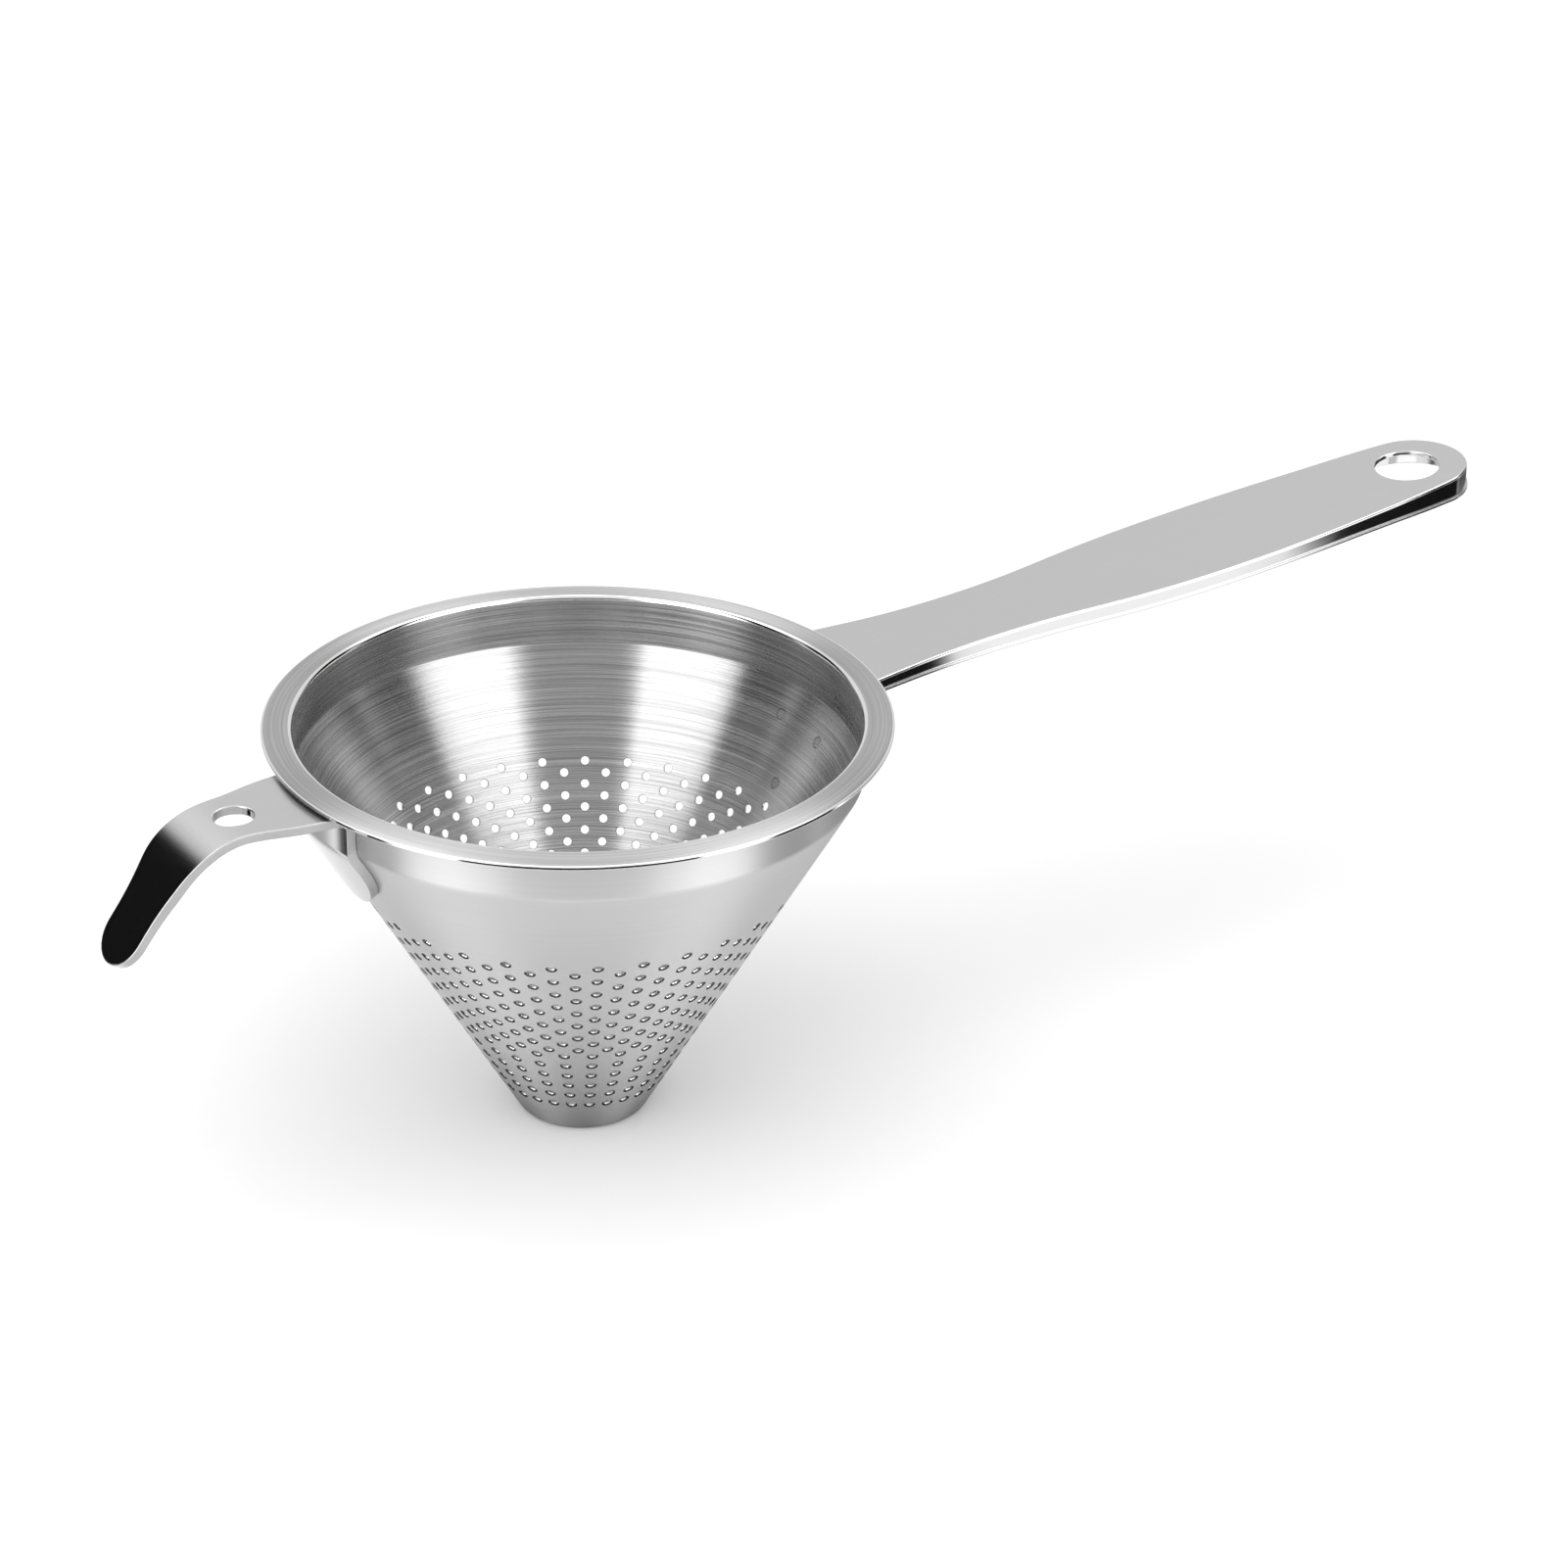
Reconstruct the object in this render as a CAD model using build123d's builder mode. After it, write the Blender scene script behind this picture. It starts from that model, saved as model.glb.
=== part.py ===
from build123d import *
import os
from math import atan2, cos, pi, radians, sin, tan

# Chinois strainer: a perforated sheet cone with a sheet handle and a rest hook.
# Millimetres, +Z up. The origin is the centre of the flat tip's underside.
# The handle points along +X and the rest hook along -X.

os.makedirs("parts", exist_ok=True)

# Cuts run this far past what they cut
overrun = 5.0

# Bowl: one spun sheet with a hemmed flat rim
bowl_height = 97.5
bowl_sheet = 0.7
rim_radius = 70.0
rim_thickness = 1.2
rim_edge_height = 0.7
rim_shoulder = 2.2
rim_shoulder_bend = 2.4
rim_edge_fillet = 0.32
mouth_bend = 0.9
collar_radius = 63.8
collar_depth = 11.9
crease_outer_bend = 3.0
crease_inner_bend = 0.5
tip_radius = 14.6
tip_outer_bend = 2.2

# Perforations: rows of round holes, each row shifted by half a pitch from the next
hole_radius = 1.0
hole_columns = 31
hole_turn = 0.7
first_row_drop = 36.2
row_pitch = 4.67
staggered_rows = 8
lower_row_pitch = 3.78
lower_rows = 5

# Handle: one pressed sheet, an open channel that runs from under the rim to a round tip
handle_sheet = 1.2
handle_length = 183.0
handle_root_radius = 64.6
handle_gap = 1.1
handle_half_width = 16.7
handle_bend = 0.5
handle_tip_radius = 13.4
handle_tip_turn = 83.0
handle_rise = 12.5
handle_sag = 1.5
skirt_tip_depth = 5.8
skirt_lip = 0.5
skirt_lip_height = 0.6
hanging_hole_radius = 7.8
hanging_hole_from_tip = 14.9
hanging_hole_fillet = 0.25

# Waisted sides of the handle: shares of its length, with shares of its half width
handle_side_shares = [
    (0.0, 0.95), (0.126, 0.77), (0.221, 0.73), (0.325, 0.787),
    (0.423, 0.911), (0.598, 1.0), (0.724, 0.968), (0.827, 0.9),
]

# Depth of the handle's skirt: shares of its length, with shares of the depth at its tip
skirt_depth_shares = [(0.0, 0.52), (0.2, 0.63), (0.45, 0.66), (0.7, 0.67), (0.85, 0.8), (1.0, 1.0)]

# Rest hook: one thicker strip whose end is bent down to catch the edge of a pot
hook_sheet = 2.1
hook_gap = 0.8
hook_edge_fillet = 0.3
hook_arm = 15.0
hook_bend = 21.7
hook_angle = 53.0
hook_leg = 22.5
hook_half_width = 9.6
hook_tip_half_width = 7.4
hook_hole_reach = 14.5
hook_hole_radius = 4.4

# Waisted sides of the hook: shares of its reach in plan, with shares of its half width
hook_side_shares = [(0.0, 1.36), (0.233, 1.23), (0.4, 1.045), (0.52, 0.99), (0.65, 1.0), (0.8, 0.955)]

# Tongues: the ends of handle and hook that are bent down and lie on the bowl
lap_clearance = 0.05
tongue_inner_bend = 0.6
tongue_overlap = 2.6
tongue_sector = 60.0
handle_tongue_half_width = 13.0
handle_tongue_drop = 34.7
hook_neck_half_width = 13.3
hook_tongue_half_width = 14.3
hook_tongue_drop = 28.0

# Spot welds: sideways place from the tongue's middle, with drop below the rim's top
weld_radius = 1.2
weld_recess = 0.04
weld_depth_share = 0.6
weld_clearance = 0.03
weld_ring = 0.22
handle_weld_places = [(-9.0, 8.5), (-6.5, 19.2), (9.1, 18.5), (0.9, 31.1)]
hook_weld_places = [(-7.0, 8.5), (7.0, 8.5), (0.0, 20.5)]

# Sizes worked out from the ones above
crease_z = bowl_height - collar_depth
rim_underside = bowl_height - rim_thickness
wall_angle = atan2(collar_radius - tip_radius, crease_z)
wall_slope = tan(wall_angle)
handle_root_z = rim_underside - handle_gap
handle_tip_x = handle_root_radius + handle_length
handle_tip_centre = handle_tip_x - handle_tip_radius
hanging_hole_x = handle_tip_x - hanging_hole_from_tip
hook_root_z = rim_underside - hook_gap
hook_bend_start = rim_radius + hook_arm
hook_corner = hook_bend_start + hook_bend * tan(radians(hook_angle) / 2)
hook_corner_leg = hook_corner - hook_bend_start + hook_leg


def wall_radius(z):
    """Outer radius of the cone at a height."""
    return tip_radius + wall_slope * z


def handle_top(x):
    """Height of the handle's flat top: it climbs to the tip with a slight sag."""
    share = (x - handle_root_radius) / handle_length
    return handle_root_z + handle_rise * share - 4 * handle_sag * share * (1 - share)


def wall_plane(side, drop, heading):
    """Plane on the bowl's outer face, square to it, at a sideways place and a drop below the rim."""
    z = bowl_height - drop
    on_collar = z > crease_z
    radius = collar_radius if on_collar else wall_radius(z)
    tilt = 0 if on_collar else wall_angle
    around = radians(heading) + side / radius
    return Plane(
        origin=(radius * cos(around), radius * sin(around), z),
        z_dir=(cos(tilt) * cos(around), cos(tilt) * sin(around), -sin(tilt)),
    )


# Bowl
hole_rows = [(first_row_drop + row_pitch * row, 0) for row in range(staggered_rows)]
hole_rows += [(first_row_drop + row_pitch * (row + 1 / 2), 1 / 2) for row in range(staggered_rows - 1)]
last_staggered_drop = first_row_drop + row_pitch * (staggered_rows - 1)
hole_rows += [(last_staggered_drop + lower_row_pitch * (row + 1), 0) for row in range(lower_rows)]
hole_places = []
for drop, shift in hole_rows:
    row_z = bowl_height - drop
    for column in range(hole_columns):
        angle = radians(hole_turn) + 2 * pi * (column + shift) / hole_columns
        hole_plane = Plane(
            origin=(wall_radius(row_z) * cos(angle), wall_radius(row_z) * sin(angle), row_z),
            z_dir=(cos(wall_angle) * cos(angle), cos(wall_angle) * sin(angle), -sin(wall_angle)),
        )
        hole_places.append(hole_plane.location)

handle_weld_planes = [wall_plane(side, drop, 0) for side, drop in handle_weld_places]
hook_weld_planes = [wall_plane(side, drop, 180) for side, drop in hook_weld_places]
weld_places = [plane.location for plane in handle_weld_planes + hook_weld_planes]
weld_ring_places = [plane.offset(-2 * bowl_sheet).location for plane in handle_weld_planes + hook_weld_planes]

with BuildPart() as bowl:
    with BuildSketch(Plane.XZ):
        with BuildLine():
            FilletPolyline(
                (0, 0),
                (tip_radius, 0),
                (collar_radius, crease_z),
                (collar_radius, rim_underside),
                (rim_radius, rim_underside),
                (rim_radius, rim_underside + rim_edge_height),
                (rim_radius - rim_shoulder, bowl_height),
                (collar_radius - bowl_sheet, bowl_height),
                (collar_radius - bowl_sheet, crease_z + bowl_sheet * tan(wall_angle / 2)),
                (wall_radius(bowl_sheet) - bowl_sheet / cos(wall_angle), bowl_sheet),
                (0, bowl_sheet),
                radius=[
                    0, tip_outer_bend, crease_outer_bend, rim_edge_fillet, rim_edge_fillet, rim_edge_fillet,
                    rim_shoulder_bend, mouth_bend, crease_inner_bend, tip_outer_bend - bowl_sheet, 0,
                ],
                close=True,
            )
        make_face()
    revolve(axis=Axis.Z)
    with Locations(*hole_places):
        Cylinder(hole_radius, 2 * (bowl_sheet + hole_radius), mode=Mode.SUBTRACT)
    with Locations(*weld_ring_places):
        Cone(
            bottom_radius=weld_radius + weld_clearance + weld_ring + bowl_sheet,
            top_radius=weld_radius,
            height=weld_clearance + weld_ring + bowl_sheet,
            align=(Align.CENTER, Align.CENTER, Align.MIN),
            mode=Mode.SUBTRACT,
        )
    with Locations(*weld_places):
        Cylinder(weld_radius + weld_clearance, 2 * (bowl_sheet + weld_radius), mode=Mode.SUBTRACT)
bowl.part.label = "bowl"
export_step(bowl.part, "parts/bowl.step", write_pcurves=False)


def handle_outline(inset):
    """Plan of the handle, drawn this far inside its outer face."""
    tip = handle_tip_radius - inset
    turn = radians(handle_tip_turn)
    side = [
        (handle_root_radius + along * handle_length, share * handle_half_width - inset)
        for along, share in handle_side_shares
    ]
    side.append((handle_tip_centre + tip * cos(turn), tip * sin(turn)))
    first, second, last = side[0], side[1], side[-1]
    tangents = [(second[0] - first[0], second[1] - first[1]), (sin(turn), -cos(turn))]
    with BuildSketch() as outline:
        with BuildLine():
            edge = Spline(*side, tangents=tangents)
            mirror(edge, about=Plane.XZ)
            ThreePointArc(last, (handle_tip_centre + tip, 0), (last[0], -last[1]))
            Line(first, (first[0], -first[1]))
        make_face()
    return outline.sketch


def handle_top_line(drop):
    """Points along the handle's top, this far below it, in side view."""
    stations = [handle_root_radius + along * handle_length for along, depth in skirt_depth_shares]
    stations.append(handle_tip_x + overrun)
    return [(x, handle_top(x) - drop) for x in stations]


def handle_edge_line(lift):
    """Points along the skirt's lower edge, this far above it, in side view."""
    depths = [share * skirt_tip_depth for along, share in skirt_depth_shares] + [skirt_tip_depth]
    return [(x, z - depth + lift) for (x, z), depth in zip(handle_top_line(0), depths)]


def handle_side_view(upper, lower):
    """Side view of a layer of the handle between two lines of points."""
    with BuildSketch(Plane.XZ) as view:
        with BuildLine():
            top = Spline(*upper)
            bottom = Spline(*lower)
            Line(top @ 0, bottom @ 0)
            Line(top @ 1, bottom @ 1)
        make_face()
    return view.sketch


def handle_layer(inset, upper, lower, bend):
    """A layer of the handle: its plan cut to a side view, with the long top edges bent over."""
    with BuildPart() as layer:
        extrude(handle_outline(inset), amount=bowl_height + handle_rise + overrun, dir=(0, 0, 1))
        extrude(handle_side_view(upper, lower), amount=rim_radius, dir=(0, 1, 0), both=True, mode=Mode.INTERSECT)
        if bend:
            top = layer.faces().sort_by(SortBy.AREA)[-2:].sort_by(Axis.Z)[-1]
            fillet(top.edges().sort_by(Axis.X)[1:], radius=bend)
    return layer.part


def tongue(leg_radius, top, sheet, neck, round_end, drop):
    """A tongue on the +X side: a leg under the rim, bent down onto the collar and the cone, with a round end."""
    end = bowl_height - drop
    start = radians(-tongue_sector / 2)
    profile_plane = Plane(origin=(0, 0, 0), x_dir=(cos(start), sin(start), 0), z_dir=(sin(start), -cos(start), 0))
    front_plane = Plane(
        origin=(wall_radius(end), 0, end),
        x_dir=(0, 1, 0),
        z_dir=(cos(wall_angle), 0, -sin(wall_angle)),
    )
    path = [
        (leg_radius, top),
        (collar_radius + lap_clearance, top),
        (collar_radius + lap_clearance, crease_z - lap_clearance * tan(wall_angle / 2)),
        (wall_radius(end - overrun) + lap_clearance / cos(wall_angle), end - overrun),
    ]
    with BuildPart() as piece:
        with BuildSketch(profile_plane):
            with BuildLine():
                FilletPolyline(*path, radius=[tongue_inner_bend + sheet, crease_outer_bend + lap_clearance])
                offset(amount=sheet, side=Side.LEFT)
            make_face()
        revolve(axis=Axis.Z, revolution_arc=tongue_sector)
        with BuildSketch(front_plane):
            with Locations((0, round_end)):
                Circle(round_end)
                Rectangle(2 * neck, bowl_height, align=(Align.CENTER, Align.MIN))
        extrude(amount=rim_radius, both=True, mode=Mode.INTERSECT)
    return piece.part


# Handle
handle_tongue = tongue(
    leg_radius=handle_root_radius + tongue_overlap,
    top=handle_root_z,
    sheet=handle_sheet,
    neck=handle_tongue_half_width,
    round_end=handle_tongue_half_width,
    drop=handle_tongue_drop,
)
handle_channel = handle_layer(0, handle_top_line(0), handle_edge_line(0), handle_bend)
handle_lip = handle_layer(-skirt_lip, handle_edge_line(skirt_lip_height), handle_edge_line(0), 0)
handle_hollow = handle_layer(
    handle_sheet, handle_top_line(handle_sheet), handle_edge_line(-overrun), max(handle_bend - handle_sheet, 0)
)
hole_share = (hanging_hole_x - handle_root_radius) / handle_length
hole_slope = (handle_rise + 4 * handle_sag * (2 * hole_share - 1)) / handle_length
hanging_hole_plane = Plane(
    origin=(hanging_hole_x, 0, handle_top(hanging_hole_x)),
    z_dir=(-hole_slope, 0, 1),
)

with BuildPart() as handle:
    add(handle_channel)
    add(handle_lip)
    add(handle_hollow, mode=Mode.SUBTRACT)
    with Locations(hanging_hole_plane.location):
        Cylinder(hanging_hole_radius, 2 * skirt_tip_depth, mode=Mode.SUBTRACT)
    fillet(handle.edges(Select.LAST), radius=hanging_hole_fillet)
    add(handle_tongue)
    with Locations(*[plane.location for plane in handle_weld_planes]):
        Cylinder(
            weld_radius + weld_clearance,
            lap_clearance + weld_depth_share * handle_sheet,
            align=(Align.CENTER, Align.CENTER, Align.MIN),
            mode=Mode.SUBTRACT,
        )
handle.part.label = "handle"
export_step(handle.part, "parts/handle.step", write_pcurves=False)

# Rest hook
hook_tongue = tongue(
    leg_radius=handle_root_radius + tongue_overlap,
    top=hook_root_z,
    sheet=hook_sheet,
    neck=hook_neck_half_width,
    round_end=hook_tongue_half_width,
    drop=hook_tongue_drop,
)
hook_direction = radians(hook_angle)
hook_end = (hook_corner + hook_corner_leg * cos(hook_direction), hook_root_z - hook_corner_leg * sin(hook_direction))
hook_tip_centre = (
    hook_end[0] - hook_tip_half_width * cos(hook_direction),
    hook_end[1] + hook_tip_half_width * sin(hook_direction),
)
hook_side_end = hook_tip_centre[0] - hook_sheet * sin(hook_direction)
hook_reach = hook_side_end - handle_root_radius
hook_tip_plane = Plane(
    origin=(hook_tip_centre[0], 0, hook_tip_centre[1]),
    x_dir=(cos(hook_direction), 0, -sin(hook_direction)),
    z_dir=(sin(hook_direction), 0, cos(hook_direction)),
)

hook_side = [
    (handle_root_radius + along * hook_reach, share * hook_half_width)
    for along, share in hook_side_shares
]
hook_side.append((hook_side_end, hook_tip_half_width))
hook_side_start = (hook_side[1][0] - hook_side[0][0], hook_side[1][1] - hook_side[0][1])

with BuildPart() as hook_strip:
    with BuildSketch(Plane.XZ):
        with BuildLine():
            FilletPolyline((handle_root_radius, hook_root_z), (hook_corner, hook_root_z), hook_end, radius=hook_bend)
            offset(amount=hook_sheet, side=Side.RIGHT)
        make_face()
    extrude(amount=hook_side[0][1] + overrun, both=True)
    with BuildSketch():
        with BuildLine():
            side = Spline(*hook_side, tangents=[hook_side_start, (1, 0)])
            beyond = Line(side @ 1, (hook_end[0] + overrun, hook_tip_half_width))
            mirror(side, about=Plane.XZ)
            mirror(beyond, about=Plane.XZ)
            Line(side @ 0, (handle_root_radius, -hook_side[0][1]))
            Line(beyond @ 1, (hook_end[0] + overrun, -hook_tip_half_width))
        make_face()
    extrude(amount=bowl_height, mode=Mode.INTERSECT)
    with BuildSketch(hook_tip_plane):
        Rectangle(2 * hook_tip_half_width, 4 * hook_tip_half_width, align=(Align.MIN, Align.CENTER))
        Circle(hook_tip_half_width, mode=Mode.SUBTRACT)
    extrude(amount=hook_bend, both=True, mode=Mode.SUBTRACT)
    with Locations((rim_radius + hook_hole_reach, 0, hook_root_z)):
        Cylinder(hook_hole_radius, hook_bend, mode=Mode.SUBTRACT)
    long_edges = hook_strip.edges().filter_by(Axis.Y, reverse=True)
    fillet(long_edges.filter_by(lambda edge: edge.length > 2 * hook_sheet), radius=hook_edge_fillet)
    add(hook_tongue)

with BuildPart() as rest_hook:
    with Locations(Location((0, 0, 0), (0, 0, 180))):
        add(hook_strip.part)
    with Locations(*[plane.location for plane in hook_weld_planes]):
        Cylinder(
            weld_radius + weld_clearance,
            lap_clearance + weld_depth_share * hook_sheet,
            align=(Align.CENTER, Align.CENTER, Align.MIN),
            mode=Mode.SUBTRACT,
        )
rest_hook.part.label = "rest_hook"
export_step(rest_hook.part, "parts/rest_hook.step", write_pcurves=False)

# Spot welds of the handle's tongue
weld_start = bowl_sheet - weld_recess
with BuildPart() as handle_welds:
    with Locations(*[plane.offset(-weld_start).location for plane in handle_weld_planes]):
        Cylinder(
            weld_radius,
            weld_start + lap_clearance + weld_depth_share * handle_sheet,
            align=(Align.CENTER, Align.CENTER, Align.MIN),
        )
handle_welds.part.label = "handle_welds"
export_step(handle_welds.part, "parts/handle_welds.step", write_pcurves=False)

# Spot welds of the hook's tongue
with BuildPart() as hook_welds:
    with Locations(*[plane.offset(-weld_start).location for plane in hook_weld_planes]):
        Cylinder(
            weld_radius,
            weld_start + lap_clearance + weld_depth_share * hook_sheet,
            align=(Align.CENTER, Align.CENTER, Align.MIN),
        )
hook_welds.part.label = "hook_welds"
export_step(hook_welds.part, "parts/hook_welds.step", write_pcurves=False)
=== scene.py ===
from math import atan2, copysign, cos, pi, radians, sin, tan

import bpy
from mathutils import Euler, Matrix, Vector


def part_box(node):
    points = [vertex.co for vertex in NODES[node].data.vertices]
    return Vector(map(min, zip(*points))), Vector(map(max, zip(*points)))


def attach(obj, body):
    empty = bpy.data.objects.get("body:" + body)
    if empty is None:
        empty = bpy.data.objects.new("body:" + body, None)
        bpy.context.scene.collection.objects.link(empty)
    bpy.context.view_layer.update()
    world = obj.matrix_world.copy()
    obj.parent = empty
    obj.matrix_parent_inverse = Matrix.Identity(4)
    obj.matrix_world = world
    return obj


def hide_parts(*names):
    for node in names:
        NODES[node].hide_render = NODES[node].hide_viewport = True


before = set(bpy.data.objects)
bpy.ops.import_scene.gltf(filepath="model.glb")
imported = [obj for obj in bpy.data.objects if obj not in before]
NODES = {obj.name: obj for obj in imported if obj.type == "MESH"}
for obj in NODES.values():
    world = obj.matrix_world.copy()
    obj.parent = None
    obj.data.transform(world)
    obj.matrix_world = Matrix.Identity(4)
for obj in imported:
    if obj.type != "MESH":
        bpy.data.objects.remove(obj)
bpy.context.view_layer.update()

bl_info = {
    "name": "Chinois strainer finishes",
    "version": (1, 0, 0),
    "blender": (4, 5, 0),
    "location": "View3D > Sidebar > Strainer",
    "description": "Dresses a pressed and brushed stainless chinois strainer and lights it as a product shot",
    "category": "Object",
}

MM = 0.001


def linear(colour):
    """Linear RGBA of an sRGB hex colour."""
    parts = [int(colour[place:place + 2], 16) / 255 for place in (1, 3, 5)]
    return (*[part / 12.92 if part <= 0.04045 else ((part + 0.055) / 1.055) ** 2.4 for part in parts], 1.0)


def node(tree, kind, inputs=None, **settings):
    """Adds a node with its settings, and links or sets its inputs."""
    made = tree.nodes.new(kind)
    for name, value in settings.items():
        setattr(made, name, value)
    for name, value in (inputs or {}).items():
        if isinstance(value, bpy.types.NodeSocket):
            tree.links.new(value, made.inputs[name])
        else:
            made.inputs[name].default_value = value
    return made


def new_material(name):
    """An empty node material with its output node."""
    material = bpy.data.materials.new(name)
    material.use_nodes = True
    material.node_tree.nodes.clear()
    output = node(material.node_tree, "ShaderNodeOutputMaterial")
    return material, material.node_tree, output


def dress(name, material):
    """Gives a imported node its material."""
    piece = NODES[name]
    for slot in piece.material_slots:
        slot.material = material
    return piece


def smooth_range(tree, value, start, end, low=0.0, high=1.0):
    """A soft step of a value from one level to another."""
    step = node(tree, "ShaderNodeMapRange", {
        "Value": value, "From Min": start, "From Max": end, "To Min": low, "To Max": high,
    }, interpolation_type="SMOOTHSTEP")
    return step.outputs["Result"]


def math(tree, operation, first, second=0.0):
    """The result of a sum on two values."""
    return node(tree, "ShaderNodeMath", {0: first, 1: second}, operation=operation).outputs[0]


def blend(tree, factor, first, second):
    """A value between two values."""
    made = node(tree, "ShaderNodeMix", {"Factor": factor, 2: first, 3: second}, data_type="FLOAT")
    return made.outputs[0]


def size(name, description, millimetres):
    """A length that a user may change, given in millimetres."""
    return bpy.props.FloatProperty(
        name=name, description=description, default=millimetres * MM,
        unit="LENGTH", subtype="DISTANCE", precision=4)


def hex_colour(name, description, value):
    """A colour that a user may change, given as sRGB hex."""
    return bpy.props.FloatVectorProperty(
        name=name, description=description, default=linear(value),
        subtype="COLOR", size=4, min=0.0, max=1.0)


class BowlSizes(bpy.types.PropertyGroup):
    """Sizes of the spun and punched bowl"""

    sheet: size("Sheet", "Thickness of the bowl's sheet", 0.7)
    rim_thickness: size("Rim thickness", "Thickness of the hemmed rim", 1.2)
    rim_edge: size("Rim edge", "Height of the rim's upright edge", 0.7)
    rim_edge_bend: size("Rim edge bend", "Radius of the rim's outer edges", 0.16)
    rim_shoulder: size("Rim shoulder", "Width of the slope between the rim's edge and its flat top", 2.2)
    shoulder_bend: size("Shoulder bend", "Radius between the rim's slope and its flat top", 16)
    mouth_bend: size("Mouth bend", "Radius from the rim's top into the mouth", 0.9)
    collar_radius: size("Collar radius", "Outer radius of the upright collar below the rim", 63.8)
    collar_depth: size("Collar depth", "Height from the rim's top down to the crease", 11.9)
    crease_bend: size("Crease bend", "Outer radius of the bend between the collar and the cone", 3.0)
    crease_inner_bend: size("Inner crease bend", "Inner radius of the bend above the cone", 0.5)
    tip_radius: size("Tip radius", "Outer radius of the cone at its closed tip", 14.6)
    tip_bend: size("Tip bend", "Outer radius of the bend round the closed tip", 2.2)
    hole_radius: size("Hole radius", "Radius of the round perforations", 1.0)
    hole_edge: size("Hole edge", "Radius of the rounded outer edge of each perforation", 0.3)
    hole_break: size("Hole break", "Width of the broken inner edge of each perforation", 0.1)
    hole_columns: bpy.props.IntProperty(
        name="Hole columns", description="Holes in a row round the cone", default=31)
    hole_turn: bpy.props.FloatProperty(
        name="Hole turn", description="Turn of the first hole from the handle's middle",
        unit="ROTATION", subtype="ANGLE", default=radians(0.7))
    first_row_drop: size("First row", "Drop from the rim's top to the first row of holes", 36.2)
    row_pitch: size("Row pitch", "Drop between rows that aren't shifted", 4.67)
    staggered_rows: bpy.props.IntProperty(
        name="Staggered rows", description="Rows that have a shifted row between them", default=8)
    lower_row_pitch: size("Lower row pitch", "Drop between the lower rows", 3.78)
    lower_rows: bpy.props.IntProperty(name="Lower rows", description="Plain rows near the tip", default=5)
    weld_hole: size("Weld hole", "Radius of the hole that a spot weld fills", 1.23)
    weld_ring: size("Weld ring", "Width of the ring that a spot weld leaves in the sheet", 0.16)


# Spot welds: sideways place from the tongue's middle, with drop below the rim's top, in millimetres
HANDLE_WELDS = [(-9.0, 8.5), (-6.5, 19.2), (9.1, 18.5), (0.9, 31.1)]
HOOK_WELDS = [(-7.0, 8.5), (7.0, 8.5), (0.0, 20.5)]
# Welds on the cone that lie lower than this below the rim's top have a strip of wall of their own
LOWER_WELD_DROP = 24 * MM
# How far a strip of wall reaches past the welds in it
WELD_MARGIN = 2 * MM
# Strips of wall that lie nearer than this share their edges
JOINED_GAP = 0.1 * MM

# Finishes of the bowl, as places in its list of materials. The edges' finish carries a painted highlight, the
# lips' finish painted shade
OUTSIDE, INSIDE, RIM, EDGE_HIGHLIGHT, LIP_SHADE = range(5)

# How finely the bowl's surface is divided
SEGMENTS_PER_HOLE = 8
SIDE_SEGMENTS = 3
BEND_STEP = radians(12)
FEWEST_BEND_STEPS = 3
ROUND_STEPS = 2

# A stretch of a hole's edge is on its upper side where the rises of its two ends add up to more than this
UPPER_SIDE = 0.5

UP = Vector((0, 0, 1))


def outward(angle):
    """The level direction at an angle from +X."""
    return Vector((cos(angle), sin(angle), 0))


def bend(before, corner, after, radius):
    """A rounded corner of a section: its places, each with the way that the line's right side faces."""
    arrive = corner - before
    leave = after - corner
    start = atan2(arrive.y, arrive.x)
    turn = (atan2(leave.y, leave.x) - start + pi) % (2 * pi) - pi
    first = corner - arrive.normalized() * radius * tan(abs(turn) / 2)
    first_facing = Vector((sin(start), -cos(start)))
    steps = max(FEWEST_BEND_STEPS, round(abs(turn) / BEND_STEP))
    path = []
    for step in range(steps + 1):
        angle = start + turn * step / steps
        facing = Vector((sin(angle), -cos(angle)))
        path.append((first + copysign(radius, turn) * (facing - first_facing), facing))
    return path


class Skin:
    """Points of a metal surface, each with the way it faces, and the faces between them."""

    def __init__(self):
        self.places = []
        self.facings = []
        self.faces = []
        self.corner_facings = []
        self.finishes = []

    def point(self, place, facing):
        self.places.append(place)
        self.facings.append(facing)
        return len(self.places) - 1

    def face(self, points, finish, facings=None):
        self.faces.append(points)
        self.finishes.append(finish)
        self.corner_facings.extend(facings or [self.facings[point] for point in points])

    def band(self, start, end, finish, inside_out=False):
        """Quads between two closed loops of points."""
        for here in range(len(start)):
            there = (here + 1) % len(start)
            quad = [start[here], start[there], end[there], end[here]]
            self.face(quad[::-1] if inside_out else quad, finish)

    def build(self, name, finishes):
        mesh = bpy.data.meshes.new(name)
        mesh.from_pydata(self.places, [], self.faces)
        mesh.shade_smooth()
        mesh.normals_split_custom_set(self.corner_facings)
        for material in finishes:
            mesh.materials.append(material)
        mesh.polygons.foreach_set("material_index", self.finishes)
        piece = bpy.data.objects.new(name, mesh)
        bpy.context.scene.collection.objects.link(piece)
        return piece


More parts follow.
